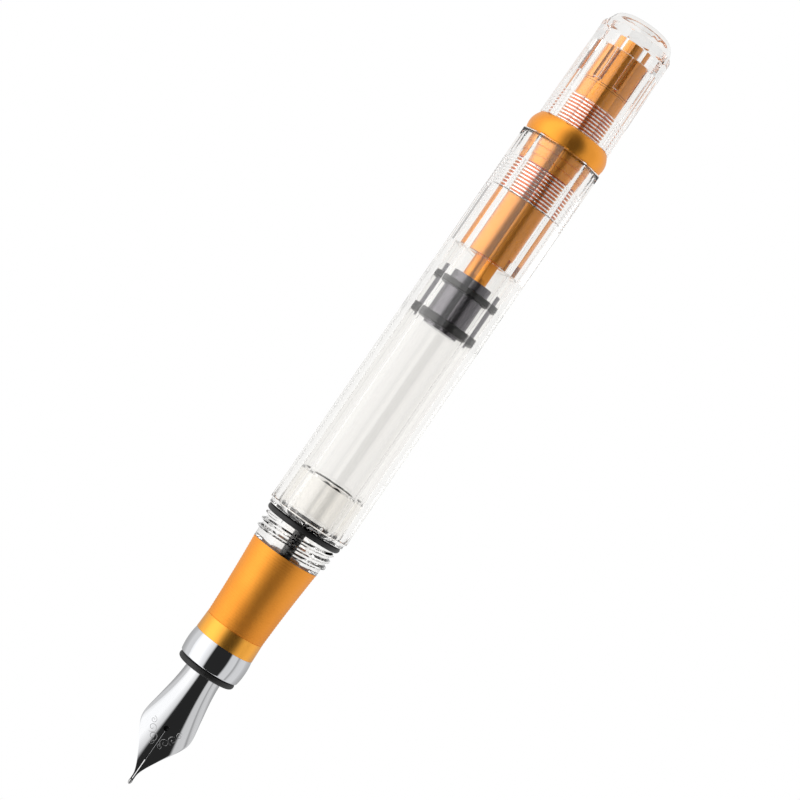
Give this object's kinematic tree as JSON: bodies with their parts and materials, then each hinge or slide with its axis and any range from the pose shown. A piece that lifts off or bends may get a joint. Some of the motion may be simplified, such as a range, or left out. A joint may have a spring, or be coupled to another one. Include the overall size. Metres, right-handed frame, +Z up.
{
  "type": "fountain pen",
  "caption": "Uncapped piston-filling fountain pen: curved steel nib, ribbed anodised grip, clear faceted barrel, sealed sliding piston and turning end knob.",
  "frame": {"origin": "middle of the pen's length, on the plane it lies on, straight below its axis", "axes": "+X along the pen from the nib to the knob, +Z up through the top of the nib and one edge of the barrel, +Y to the left seen from the nib"},
  "size_m": [0.1314, 0.013, 0.0136],
  "materials": {
    "clear_polycarbonate": "clear, polished",
    "orange_anodised": "satin anodised",
    "dark_anodised": "turned and dark anodised",
    "nib_steel": "polished",
    "tipping_alloy": "ground and polished",
    "chrome_plate": "mirror polished",
    "black_plastic": "moulded satin",
    "black_rubber": "smooth rubber"
  },
  "bodies": {
    "barrel": {"nib": "nib_steel", "nib_tipping": "tipping_alloy", "feed": "black_plastic", "nib_collar": "black_plastic", "front_o_ring": "black_rubber", "trim_ring": "chrome_plate", "grip_sleeve": "orange_anodised", "section_core": "clear_polycarbonate", "section_o_ring": "black_rubber", "barrel": "clear_polycarbonate", "mechanism_housing": "orange_anodised", "guide_bush": "orange_anodised", "spindle_bush": "orange_anodised", "collar": "orange_anodised"},
    "piston": {"piston_core": "dark_anodised", "front_seal": "black_rubber", "rear_seal": "black_rubber", "piston_rod": "orange_anodised"},
    "washer": {"thrust_washer": "orange_anodised"},
    "knob": {"knob": "clear_polycarbonate", "spindle": "orange_anodised", "spindle_hub": "orange_anodised"}
  },
  "joints": [
    {"name": "piston_travel", "type": "slide", "parent": "barrel", "child": "piston", "axis": [-1, 0, 0], "range_m": [0, 0.02592]},
    {"name": "knob_rise", "type": "slide", "parent": "barrel", "child": "washer", "axis": [1, 0, 0], "range_m": [0, 0.0036]},
    {"name": "knob_turn", "type": "hinge", "parent": "washer", "child": "knob", "pos_m": [0.05428, 0, 0.00679], "axis": [1, 0, 0], "range_deg": [0, 1296]}
  ],
  "couplings": [
    {"joint": "knob_turn", "follows": "knob_rise", "rad_per_m": 6283.2},
    {"joint": "piston_travel", "follows": "knob_rise", "ratio": 7.1999}
  ]
}
